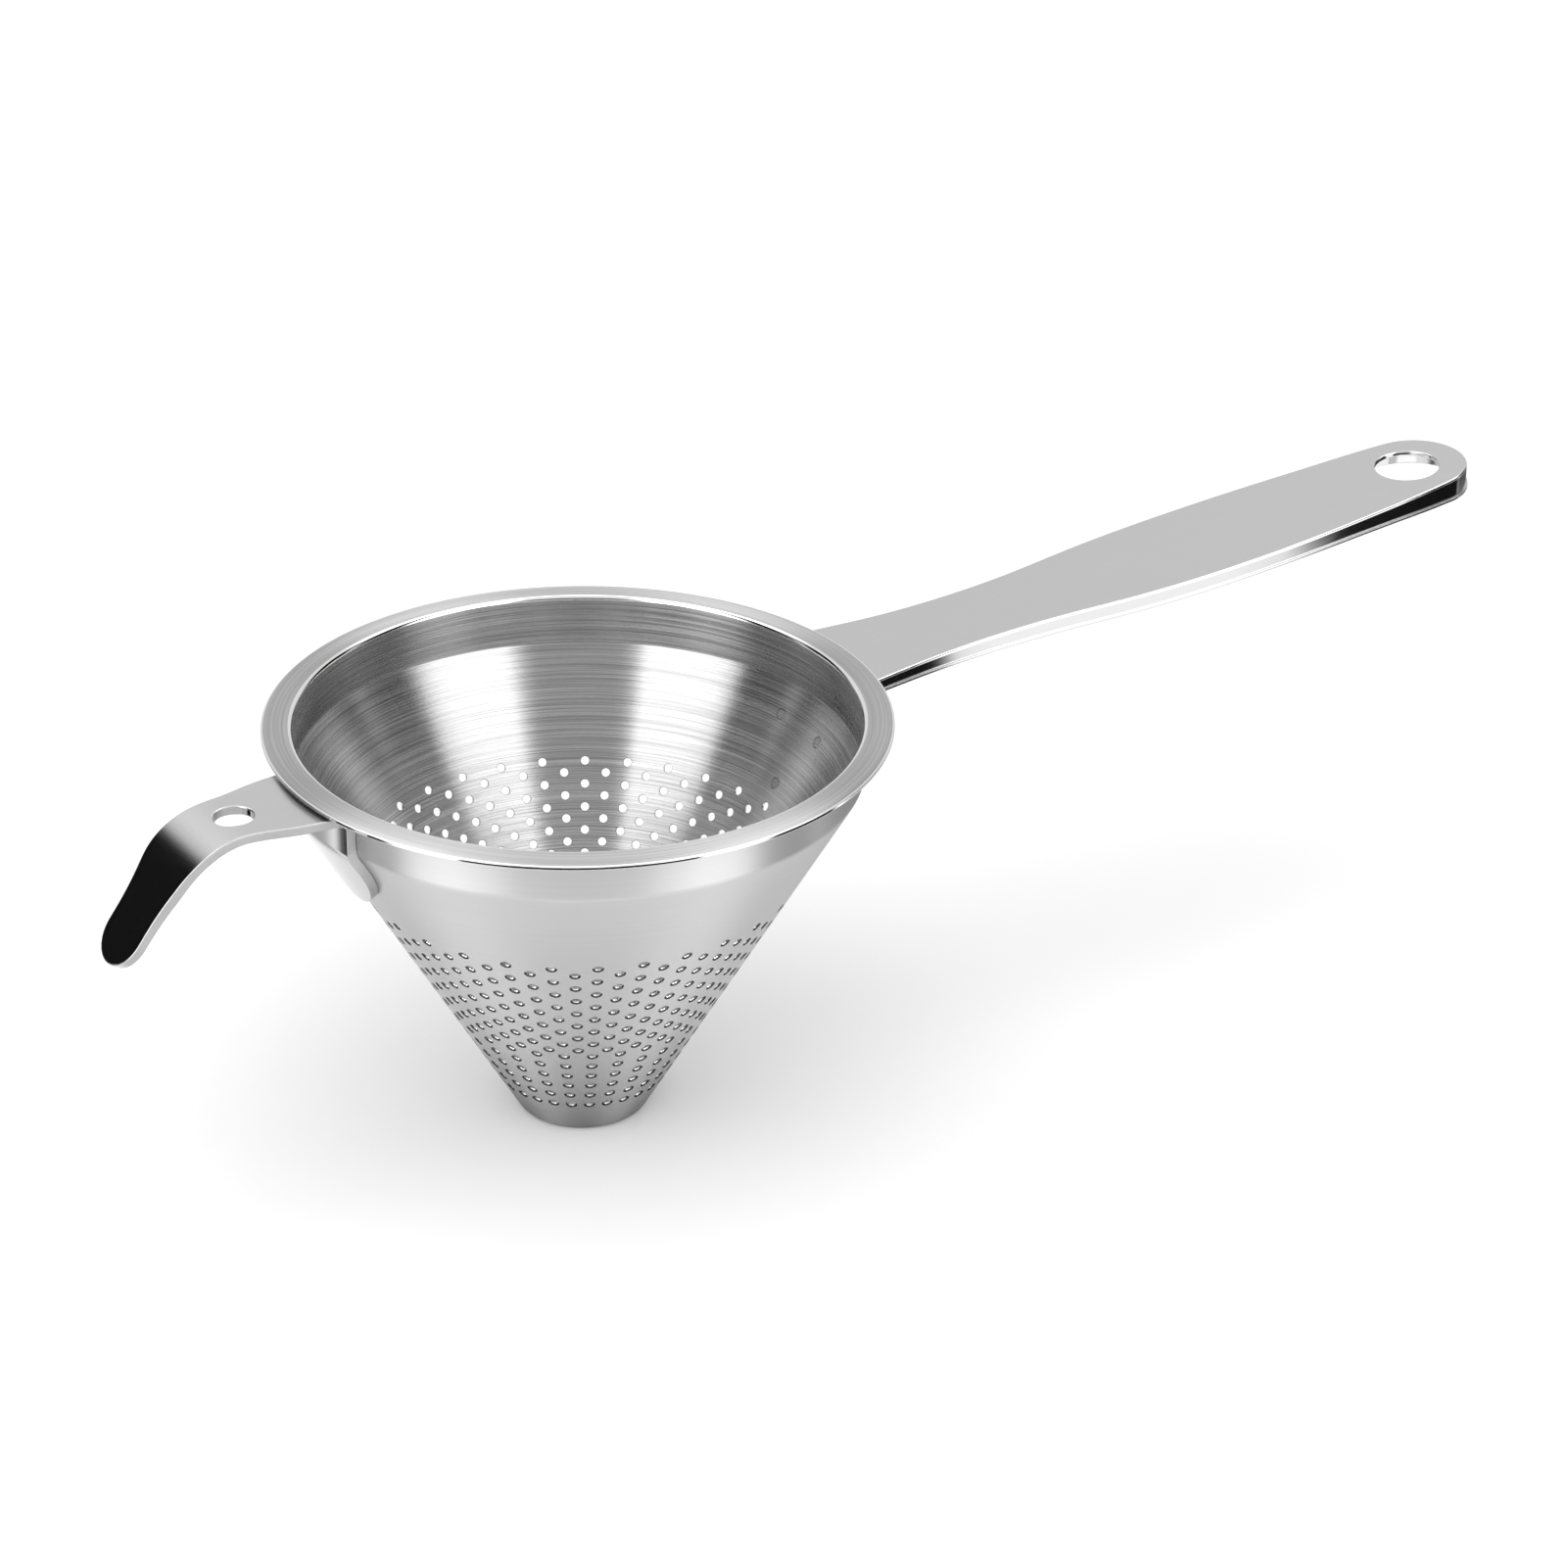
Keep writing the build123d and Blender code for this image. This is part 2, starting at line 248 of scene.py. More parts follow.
class Wall:
    """A straight stretch of the bowl's wall in section, from its foot to its head."""

    def __init__(self, foot, head, sheet):
        self.foot = foot
        self.rise = (head - foot).normalized()
        self.facing = Vector((self.rise.y, -self.rise.x))
        self.sheet = sheet

    def outer(self, height):
        return self.foot + self.rise * (height - self.foot.y) / self.rise.y

    def side(self, height, inside):
        """Place on one side of the sheet, with the way it faces."""
        if inside:
            return self.outer(height) - self.facing * self.sheet, -self.facing
        return self.outer(height), self.facing

    def sink(self, place, depth):
        """A place near the wall, moved to a depth in its sheet, with the way that the wall faces there."""
        out = Vector((place.x, place.y, 0)).normalized()
        facing = out * self.facing.x + UP * self.facing.y
        gap = (self.outer(place.z).x - place.dot(out)) * self.facing.x
        return place + facing * (gap - depth), facing


class Bowl:
    """Builds the bowl's surface from its section, with every hole punched square to the wall."""

    def __init__(self, sizes, rim_radius, height):
        self.sizes = sizes
        self.rim_radius = rim_radius
        self.height = height
        self.segments = sizes.hole_columns * SEGMENTS_PER_HOLE
        self.skin = Skin()
        crease = Vector((sizes.collar_radius, height - sizes.collar_depth))
        self.cone = Wall(Vector((sizes.tip_radius, 0)), crease, sizes.sheet)
        self.collar = Wall(crease, Vector((sizes.collar_radius, height)), sizes.sheet)

    def angle(self, segment):
        return self.sizes.hole_turn + 2 * pi * segment / self.segments

    def point(self, segment, place, facing):
        out = outward(self.angle(segment))
        return self.skin.point(out * place.x + UP * place.y, out * facing.x + UP * facing.y)

    def ring(self, place, facing):
        return [self.point(segment, place, facing) for segment in range(self.segments)]

    def edges(self, wall, height):
        """Rings on the outside and the inside of a wall."""
        return [self.ring(*wall.side(height, inside)) for inside in (False, True)]

    def bore(self, wall, segment, height, profile, count):
        """The wall of one hole, by its profile: radii with their depths in the sheet.

        Returns the hole's edges on the outside and the inside of the sheet.
        """
        out = outward(self.angle(segment))
        around = UP.cross(out)
        upward = out * wall.rise.x + UP * wall.rise.y
        facing = out * wall.facing.x + UP * wall.facing.y
        middle = out * wall.outer(height).x + UP * height
        # The first spoke points to the first lower corner of the hole's patch, where its border starts
        start = 3 * pi / 2 - pi * SEGMENTS_PER_HOLE / count
        spokes = []
        for step in range(count):
            turn = start + 2 * pi * step / count
            spokes.append(around * cos(turn) + upward * sin(turn))
        loops = []
        for radius, depth in profile:
            inside = depth == profile[-1][1]
            loop = []
            for spoke in spokes:
                place, way = wall.sink(middle + spoke * radius, depth)
                loop.append(self.skin.point(place, -way if inside else way))
            loops.append(loop)
        for (near, shallow), (far, deep), first, second in zip(profile, profile[1:], loops, loops[1:]):
            slope = Vector((shallow - deep, near - far)).normalized()
            ways = [spoke * slope.x + facing * slope.y for spoke in spokes]
            for here in range(count):
                there = (here + 1) % count
                # The straight bore gets the edges' painted highlight, and the upper outer rounding keeps the
                # outside's finish;
                # the lower outer rounding, the inner breaks and the weld rings get the lips' painted shade
                upper = spokes[here].z + spokes[there].z > UPPER_SIDE
                if near == far:
                    finish = EDGE_HIGHLIGHT
                elif near > far and upper:
                    finish = OUTSIDE
                else:
                    finish = LIP_SHADE
                self.skin.face(
                    [first[here], first[there], second[there], second[here]], finish,
                    [ways[here], ways[there], ways[there], ways[here]],
                )
        return loops[0], loops[-1]

    def strip(self, wall, low, high, lower, upper, holes, sides):
        """A level strip of a wall, with its holes, between its lower and its upper edges."""
        uprights = {}

        def upright(segment, inside):
            # Points up the side of a hole's patch, shared with the next patch
            if (segment, inside) not in uprights:
                heights = [low + (high - low) * step / sides for step in range(1, sides)]
                points = [self.point(segment, *wall.side(height, inside)) for height in heights]
                uprights[segment, inside] = points
            return uprights[segment, inside]

        punched = set()
        for middle, height, profile in holes:
            first = round(middle - SEGMENTS_PER_HOLE / 2)
            patch = [(first + step) % self.segments for step in range(SEGMENTS_PER_HOLE + 1)]
            punched.update(patch[:-1])
            hole_edges = self.bore(wall, middle, height, profile, 2 * (SEGMENTS_PER_HOLE + sides))
            for inside, hole_edge in enumerate(hole_edges):
                border = [lower[inside][segment] for segment in patch] + upright(patch[-1], inside)
                border += [upper[inside][segment] for segment in reversed(patch)]
                border += upright(patch[0], inside)[::-1]
                self.skin.band(border, hole_edge, inside, inside)
        for here in set(range(self.segments)) - punched:
            there = (here + 1) % self.segments
            self.skin.face([lower[0][here], lower[0][there], upper[0][there], upper[0][here]], OUTSIDE)
            self.skin.face([upper[1][here], upper[1][there], lower[1][there], lower[1][here]], INSIDE)

    def punched_wall(self, wall, strips):
        """Stacks the strips of a wall. Returns its lowest and its highest edges, each outside and inside."""
        lowest = upper = top = None
        for low, high, holes, sides in sorted(strips, key=lambda strip: strip[0]):
            joined = top is not None and low - top < JOINED_GAP
            lower = upper if joined else self.edges(wall, low)
            lowest = lowest or lower
            if upper and not joined:
                self.skin.band(upper[0], lower[0], OUTSIDE)
                self.skin.band(lower[1], upper[1], INSIDE)
            upper = self.edges(wall, high)
            self.strip(wall, low, high, lower, upper, holes, sides)
            top = high
        return lowest, upper

    def perforations(self):
        """Strips of the cone, one for each row of holes."""
        sizes = self.sizes
        profile = []
        for step in range(ROUND_STEPS + 1):
            turn = pi / 2 * step / ROUND_STEPS
            spread = sizes.hole_edge * (1 - sin(turn))
            profile.append((sizes.hole_radius + spread, sizes.hole_edge * (1 - cos(turn))))
        profile.append((sizes.hole_radius, sizes.sheet - sizes.hole_break))
        profile.append((sizes.hole_radius + sizes.hole_break, sizes.sheet))
        rows = []
        for row in range(2 * sizes.staggered_rows - 1):
            rows.append((sizes.first_row_drop + sizes.row_pitch * row / 2, sizes.row_pitch / 2, row % 2))
        last_drop = rows[-1][0]
        for row in range(sizes.lower_rows):
            rows.append((last_drop + sizes.lower_row_pitch * (row + 1), sizes.lower_row_pitch, 0))
        strips = []
        for drop, tall, shifted in rows:
            height = self.height - drop
            columns = [SEGMENTS_PER_HOLE * (column + shifted / 2) for column in range(sizes.hole_columns)]
            holes = [(segment, height, profile) for segment in columns]
            strips.append((height - tall / 2, height + tall / 2, holes, SIDE_SEGMENTS))
        return strips

    def weld_strip(self, wall, welds):
        """A strip of a wall with the holes that spot welds fill, each with the ring it leaves inside."""
        sizes = self.sizes
        profile = [
            (sizes.weld_hole, 0), (sizes.weld_hole, sizes.sheet - sizes.weld_ring),
            (sizes.weld_hole + sizes.weld_ring, sizes.sheet),
        ]
        holes = []
        for heading, side, drop in welds:
            height = self.height - drop
            angle = heading + side / wall.outer(height).x - sizes.hole_turn
            holes.append((angle / (2 * pi) * self.segments, height, profile))
        heights = [height for segment, height, profile in holes]
        return min(heights) - WELD_MARGIN, max(heights) + WELD_MARGIN, holes, 1

    def fan(self, ring, height, facing, finish):
        """Closes a ring with a flat round end that faces up or down."""
        middle = self.skin.point(UP * height, UP * facing)
        for here in range(self.segments):
            there = (here + 1) % self.segments
            self.skin.face([middle, ring[here], ring[there]][::facing], finish)

    def shape(self):
        """The whole surface, from the section's corners, the strips of wall and the bends between them."""
        sizes = self.sizes
        cone = self.cone
        rim_underside = self.height - sizes.rim_thickness
        inner_radius = sizes.collar_radius - sizes.sheet
        half_tilt = atan2(cone.rise.x, cone.rise.y) / 2
        inner_crease_height = self.collar.foot.y + sizes.sheet * tan(half_tilt)
        inner_tip_radius = cone.outer(sizes.sheet).x - sizes.sheet / cone.facing.x
        # Corners of the section, up the outside, over the rim and down the inside, each with its radius
        section = [
            (0, 0, 0),
            (sizes.tip_radius, 0, sizes.tip_bend),
            (sizes.collar_radius, self.collar.foot.y, sizes.crease_bend),
            (sizes.collar_radius, rim_underside, sizes.rim_edge_bend),
            (self.rim_radius, rim_underside, sizes.rim_edge_bend),
            (self.rim_radius, rim_underside + sizes.rim_edge, sizes.rim_edge_bend),
            (self.rim_radius - sizes.rim_shoulder, self.height, sizes.shoulder_bend),
            (inner_radius, self.height, sizes.mouth_bend),
            (inner_radius, inner_crease_height, sizes.crease_inner_bend),
            (inner_tip_radius, sizes.sheet, sizes.tip_bend - sizes.sheet),
            (0, sizes.sheet, 0),
        ]
        corners = [Vector((out, up)) for out, up, radius in section]
        bends = [radius for out, up, radius in section[1:-1]]
        rings = []
        for corner in zip(corners, corners[1:], corners[2:], bends):
            rings.append([self.ring(place, facing) for place, facing in bend(*corner)])
        tip, crease, under_rim, rim_bottom, rim_top, shoulder, mouth, inner_crease, inner_tip = rings

        welds = []
        for heading, tongue in ((0, HANDLE_WELDS), (pi, HOOK_WELDS)):
            welds += [(heading, side * MM, drop * MM) for side, drop in tongue]
        collar_welds = [weld for weld in welds if weld[-1] < sizes.collar_depth]
        upper_welds = [weld for weld in welds if sizes.collar_depth < weld[-1] < LOWER_WELD_DROP]
        lower_welds = [weld for weld in welds if weld[-1] > LOWER_WELD_DROP]
        cone_low, cone_high = self.punched_wall(cone, [
            *self.perforations(), self.weld_strip(cone, upper_welds), self.weld_strip(cone, lower_welds),
        ])
        collar_low, collar_high = self.punched_wall(self.collar, [self.weld_strip(self.collar, collar_welds)])

        for finish, chain in (
            (OUTSIDE, [*tip, cone_low[0]]),
            (OUTSIDE, [cone_high[0], *crease, collar_low[0]]),
            (OUTSIDE, [collar_high[0], *under_rim, rim_bottom[0]]),
            # The rim's edges and the mouth get the edges' painted highlight
            (EDGE_HIGHLIGHT, [*rim_bottom, *rim_top, shoulder[0]]),
            (RIM, [*shoulder, mouth[0]]),
            (EDGE_HIGHLIGHT, mouth),
            (INSIDE, [mouth[-1], collar_high[1]]),
            (INSIDE, [collar_low[1], *inner_crease, cone_high[1]]),
            (INSIDE, [cone_low[1], *inner_tip]),
        ):
            for start, end in zip(chain, chain[1:]):
                self.skin.band(start, end, finish)
        self.fan(tip[0], 0, -1, OUTSIDE)
        self.fan(inner_tip[-1], sizes.sheet, 1, INSIDE)
        return self.skin


class FinishSettings(bpy.types.PropertyGroup):
    """Colours and sizes of the strainer's finishes"""

    bowl_colour: hex_colour("Bowl colour", "Colour of the brushed stainless bowl", "#CFCFCF")
    sheet_colour: hex_colour("Sheet colour", "Colour of the polished handle and hook", "#D6D6D6")
    # The edges' colour is brighter than steel can be: a painted highlight
    edge_highlight_colour: hex_colour("Edge highlight colour", "Colour of the burnished edges of rim and holes", "#F0F0F0")
    # The lips' dark colour is painted shade, on the holes' lips and the rings round the spot welds
    lip_shade_colour: hex_colour("Lip shade colour", "Colour of the dull lips of the holes and the spot welds", "#484848")
    weld_colour: hex_colour("Weld colour", "Colour of the fused steel of the spot welds", "#C2C2C2")
    # Real brushing lines and polishing marks are under 0.1 mm apart, too fine to show, so these are coarser
    fine_line: size("Fine lines", "Distance between the finest brushing lines that still show", 0.3)
    middle_line: size("Middle lines", "Distance between the deeper brushing lines", 0.9)
    wide_line: size("Wide lines", "Distance between the wider brushing bands", 2.4)
    grain: size("Sheet grain", "Distance between the polishing marks on the handle and the hook", 0.5)
    soft_edge: size("Soft edges", "Radius that polishing leaves on the handle's and hook's edges", 0.25)


class StudioSettings(bpy.types.PropertyGroup):
    """Camera, floor and light"""

    camera_place: bpy.props.FloatVectorProperty(
        name="Camera place", description="Where the camera stands",
        unit="LENGTH", subtype="XYZ", size=3, default=(-0.462470, -0.814757, 0.561316))
    camera_tilt: bpy.props.FloatProperty(
        name="Camera tilt", description="Angle between straight down and the line of sight",
        unit="ROTATION", subtype="ANGLE", default=radians(62.84))
    camera_turn: bpy.props.FloatProperty(
        name="Camera turn", description="Turn of the camera about the vertical",
        unit="ROTATION", subtype="ANGLE", default=radians(-32.37))
    camera_roll: bpy.props.FloatProperty(
        name="Camera roll", description="Turn of the camera about its line of sight",
        unit="ROTATION", subtype="ANGLE", default=radians(0.582))
    lens: bpy.props.FloatProperty(
        name="Lens", description="Focal length on a sensor 36 mm wide", unit="CAMERA", default=108.46)
    floor_size: size("Floor size", "Side of the square floor", 6000)
    floor_colour: hex_colour("Floor colour", "Colour of the pale paper floor", "#F4F4F4")
    foot_radius: size("Foot radius", "How far round the strainer its metal mirrors the floor", 150)
    background: bpy.props.FloatProperty(
        name="Background", description="Strength of the white background, where 1 is white", default=1.0)


# Nearly all of a noise's values lie between these two
NOISE_LOW = 0.3
NOISE_HIGH = 0.7
NOISE_DETAIL = 2.0

# Depth of the brushing lines, and the quarter turn that spreads a reflection across them
BRUSHING_DEPTH = 0.03 * MM
ACROSS_THE_LINES = 0.25

# The polishing marks: how many times their spacing they reach along X, Y and Z, and what they take off the
# brightness and change the roughness by, as shares of it
MARK_REACH = (25, 1, 2)
MARK_SHADE = 0.015
MARK_ROUGHNESS = 0.05


def flattened(tree, place):
    """A place or a direction without its height."""
    return node(tree, "ShaderNodeVectorMath", {0: place, 1: (1, 1, 0)}, operation="MULTIPLY").outputs[0]


def tinted(tree, colour, shade):
    """A colour made darker by a shade."""
    colour = tuple(colour[:3])
    return node(tree, "ShaderNodeVectorMath", {0: colour, "Scale": shade}, operation="SCALE").outputs[0]


def brushed_steel(name, colour, settings, contrast, roughness, anisotropy):
    """Stainless sheet, spun and brushed on the lathe.

    Reflections spread up and down the wall and stay sharp round it, under fine lines that run round the axis.
    """
    material, tree, output = new_material(name)
    place = node(tree, "ShaderNodeTexCoord").outputs["Object"]
    flat = flattened(tree, place)
    out = node(tree, "ShaderNodeVectorMath", {0: flat}, operation="NORMALIZE").outputs[0]
    around = node(tree, "ShaderNodeVectorMath", {0: (0, 0, 1), 1: out}, operation="CROSS_PRODUCT").outputs[0]
    radius = node(tree, "ShaderNodeVectorMath", {0: flat}, operation="LENGTH").outputs["Value"]
    height = node(tree, "ShaderNodeSeparateXYZ", {0: place}).outputs["Z"]
    along_wall = math(tree, "ADD", radius, height)
    # Long thin streaks, a noise stretched round the axis: the distance between them, their length as a share
    # of the radius, and how much they count
    streak = 0.0
    for spacing, length, share in (
        (settings.fine_line, 1.0, 0.65),
        (settings.middle_line, 1.6, 0.25),
        (settings.wide_line, 2.0, 0.1),
    ):
        turn = node(tree, "ShaderNodeVectorMath", {0: out, "Scale": 1 / length}, operation="SCALE").outputs[0]
        step = node(tree, "ShaderNodeCombineXYZ", {"Z": math(tree, "DIVIDE", along_wall, spacing)}).outputs[0]
        spot = node(tree, "ShaderNodeVectorMath", {0: turn, 1: step}, operation="ADD").outputs[0]
        noise = node(tree, "ShaderNodeTexNoise", {"Vector": spot, "Scale": 1.0, "Detail": NOISE_DETAIL})
        line = smooth_range(tree, noise.outputs["Fac"], NOISE_LOW, NOISE_HIGH, -share, share)
        streak = math(tree, "ADD", streak, line)
    shade = math(tree, "ADD", 1 - contrast, math(tree, "MULTIPLY", streak, contrast))
    rough = math(tree, "ADD", roughness, math(tree, "MULTIPLY", streak, contrast * roughness / 2))
    bump = node(tree, "ShaderNodeBump", {"Height": streak, "Strength": contrast, "Distance": BRUSHING_DEPTH})
    shader = node(tree, "ShaderNodeBsdfPrincipled", {
        "Base Color": tinted(tree, colour, shade), "Metallic": 1.0, "Roughness": rough,
        "Normal": bump.outputs[0], "Tangent": around,
        "Anisotropic": anisotropy, "Anisotropic Rotation": ACROSS_THE_LINES,
    })
    tree.links.new(shader.outputs[0], output.inputs["Surface"])
    return material


def polished_steel(name, colour, settings, roughness, soft_edge=0.0, matter_and_shaded_sides=()):
    """Pressed stainless sheet, polished: an even bright grey with faint marks and, where wanted, soft edges.

    The sides that face along an axis can be matter, such as a flat that was only satin polished or a sheared
    cut, and darker by painted shade. Each has its axis, how squarely a side faces along it where the change
    starts and ends, the roughness there, and the painted shade that it takes off the brightness.
    """
    material, tree, output = new_material(name)
    coordinates = node(tree, "ShaderNodeTexCoord").outputs
    stretched = node(tree, "ShaderNodeVectorMath", {
        0: coordinates["Object"], 1: [1 / (reach * settings.grain) for reach in MARK_REACH],
    }, operation="MULTIPLY").outputs[0]
    marks = node(tree, "ShaderNodeTexNoise", {
        "Vector": stretched, "Scale": 1.0, "Detail": NOISE_DETAIL,
    }).outputs["Fac"]
    shade = node(tree, "ShaderNodeMapRange", {
        "Value": marks, "From Min": NOISE_LOW, "From Max": NOISE_HIGH,
        "To Min": 1 - MARK_SHADE, "To Max": 1.0,
    }).outputs["Result"]
    rough = node(tree, "ShaderNodeMapRange", {
        "Value": marks, "From Min": NOISE_LOW, "From Max": NOISE_HIGH,
        "To Min": (1 - MARK_ROUGHNESS) * roughness, "To Max": (1 + MARK_ROUGHNESS) * roughness,
    }).outputs["Result"]
    facing = node(tree, "ShaderNodeSeparateXYZ", {0: coordinates["Normal"]}).outputs
    for axis, start, end, matter, painted_shade in matter_and_shaded_sides:
        faced = smooth_range(tree, math(tree, "ABSOLUTE", facing[axis]), start, end)
        rough = blend(tree, faced, rough, matter)
        # Painted shade: the sides that face along this axis lose brightness
        shade = math(tree, "SUBTRACT", shade, math(tree, "MULTIPLY", faced, painted_shade))
    shader = node(tree, "ShaderNodeBsdfPrincipled", {
        "Base Color": tinted(tree, colour, shade), "Metallic": 1.0, "Roughness": rough,
    })
    if soft_edge:
        edge = node(tree, "ShaderNodeBevel", {"Radius": soft_edge}, samples=8).outputs[0]
        tree.links.new(edge, shader.inputs["Normal"])
    tree.links.new(shader.outputs[0], output.inputs["Surface"])
    return material


class STRAINER_OT_brushed_bowl(bpy.types.Operator):
    """Makes the spun and brushed bowl with its punched holes"""

    bl_idname = "strainer.brushed_bowl"
    bl_label = "Brushed bowl"

    def execute(self, context):
        settings = context.scene.strainer_finishes
        # Outside, satin brushed very finely: a soft even grey with hardly a line
        satin = brushed_steel(
            "satin stainless steel", settings.bowl_colour, settings,
            contrast=0.02, roughness=0.4, anisotropy=0.85)
        # Inside, brushed on the turning lathe: clear lines over bright and dark wedges that meet at the tip
        brushed = brushed_steel(
            "brushed stainless steel", settings.bowl_colour, settings,
            contrast=0.26, roughness=0.24, anisotropy=1.0)
        # The rim's top, brushed flat: fainter lines and softer wedges
        rim = brushed_steel(
            "brushed stainless rim", settings.bowl_colour, settings,
            contrast=0.15, roughness=0.38, anisotropy=0.95)
        # Edges that the punch and the lathe burnished, with a painted highlight: thin bright lines round the
        # rim and in the holes
        edges = polished_steel(
            "burnished stainless edges, painted highlight", settings.edge_highlight_colour, settings, roughness=0.06)
        # Lips that the punch drew in and sheared, dark with painted shade: dull rings that set off each hole
        lips = polished_steel(
            "punched stainless lips, painted shade", settings.lip_shade_colour, settings, roughness=0.25)
        reach_x, reach_y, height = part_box("bowl")[1]
        bowl = Bowl(context.scene.strainer_bowl, min(reach_x, reach_y), height)
        piece = bowl.shape().build("spun_bowl", [satin, brushed, rim, edges, lips])
        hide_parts("bowl")
        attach(piece, "root")
        return {"FINISHED"}


class STRAINER_OT_pressed_handle(bpy.types.Operator):
    """Finishes the pressed sheet handle"""

    bl_idname = "strainer.pressed_handle"
    bl_label = "Pressed handle"

    def execute(self, context):
        settings = context.scene.strainer_finishes
        # Stainless sheet, pressed and polished, its top left satin and darkened by painted shade: a
        # mirror-like skirt and an even grey top
        sheet = polished_steel(
            "polished stainless sheet", settings.sheet_colour, settings, roughness=0.06,
            soft_edge=settings.soft_edge, matter_and_shaded_sides=[("Z", 0.9, 0.97, 0.3, 0.13)])
        dress("handle", sheet)
        return {"FINISHED"}


class STRAINER_OT_rest_hook(bpy.types.Operator):
    """Finishes the bent rest hook"""

    bl_idname = "strainer.rest_hook"
    bl_label = "Rest hook"

    def execute(self, context):
        settings = context.scene.strainer_finishes
        # Stainless strip, bent and polished: satin on its level arm and dull along its sheared sides. Painted
        # shade darkens its top a little, its sheared sides more, and its tongue and bent-down end a little
        strip = polished_steel(
            "polished stainless strip", settings.sheet_colour, settings, roughness=0.1,
            soft_edge=settings.soft_edge, matter_and_shaded_sides=[
                ("Z", 0.7, 0.98, 0.3, 0.1),
                ("Y", 0.5, 0.8, 0.55, 0.3),
                ("X", 0.7, 0.85, 0.1, 0.16),
            ])
        dress("rest_hook", strip)
        return {"FINISHED"}


class STRAINER_OT_spot_welds(bpy.types.Operator):
    """Finishes the spot welds"""

    bl_idname = "strainer.spot_welds"
    bl_label = "Spot welds"

    def execute(self, context):
        settings = context.scene.strainer_finishes
        # Stainless steel, melted, set again and brushed over with the bowl: a shade darker than its sheet
        fused = brushed_steel(
            "brushed stainless weld ends", settings.weld_colour, settings,
            contrast=0.26, roughness=0.27, anisotropy=1.0)
        for name in ("handle_welds", "hook_welds"):
            dress(name, fused)
        return {"FINISHED"}


# The way from the strainer to the front of the studio
STUDIO_FRONT = radians(-119.58)

# The brightness that the metal mirrors between the cards
BACKGROUND_LEVEL = 0.8

# The cards that the metal mirrors. A card lies between two angles to either side of the studio's front, and
# between two heights above the horizon. Then come its brightness and its soft edge. Angles are in degrees.
CARDS = [
    ("low softbox in front", -10, 26, -44, -8, 2.4, 8),
    ("low softboxes", 26, 72, -75, -10, 1.3, 8),
    ("dark strip low in front", -10, 44, -33, -23, 0.01, 2),
    ("dark front", -10, 22, -14, 31, 0.18, 6),
    ("side low backdrop", 78, 114, -60, -4, 1.35, 6),
    ("narrow low flags", 73, 106, -33, -16, 0.01, 3),
    ("low backdrop", 114, 190, -60, -4, 0.6, 6),
    ("narrow flags beside the backdrop", 104, 165, -24, -16, 0.01, 2),
    ("softboxes beside the front", 28, 70, -8, 60, 2.8, 3),
    ("dark flags at the sides", 73, 97, -8, 58, 0.01, 3),
    ("side softboxes behind", 104, 150, 46, 66, 3.4, 4),
    ("dark strips behind the flags", 102, 134, -2, 36, 0.01, 5),
    ("softbox behind", 150, 190, 46, 72, 1.9, 8),
    ("overhead softbox", -10, 190, 72, 100, 1.0, 6),
]

# Soft lamps: name, place, width and power
LAMPS = [
    ("overhead lamp", (-0.2, -0.3, 1.6), 1.6, 9.0),
    ("side lamp", (-1.4, 0.2, 1.0), 1.2, 3.0),
]

# The camera's sensor, in millimetres, and the nearest that it sees
SENSOR_WIDTH = 36
NEAREST_SEEN = 10 * MM

# The paper's mottle, drawn coarser than its real fibres: how wide and deep it is, and how strongly it shows
MOTTLE = 3 * MM
MOTTLE_DEPTH = 0.1 * MM
MOTTLE_STRENGTH = 0.05

# The painted shade round the strainer's foot, which only the metal mirrors: how dark it is under the tip,
# and the distances from the axis between which it fades
SHADE_UNDER_TIP = 0.6
SHADE_START = 16 * MM
SHADE_END = 52 * MM

# Half the soft border of the paper that the metal mirrors, as a share of that paper's radius
FOOT_BORDER_SHARE = 0.2


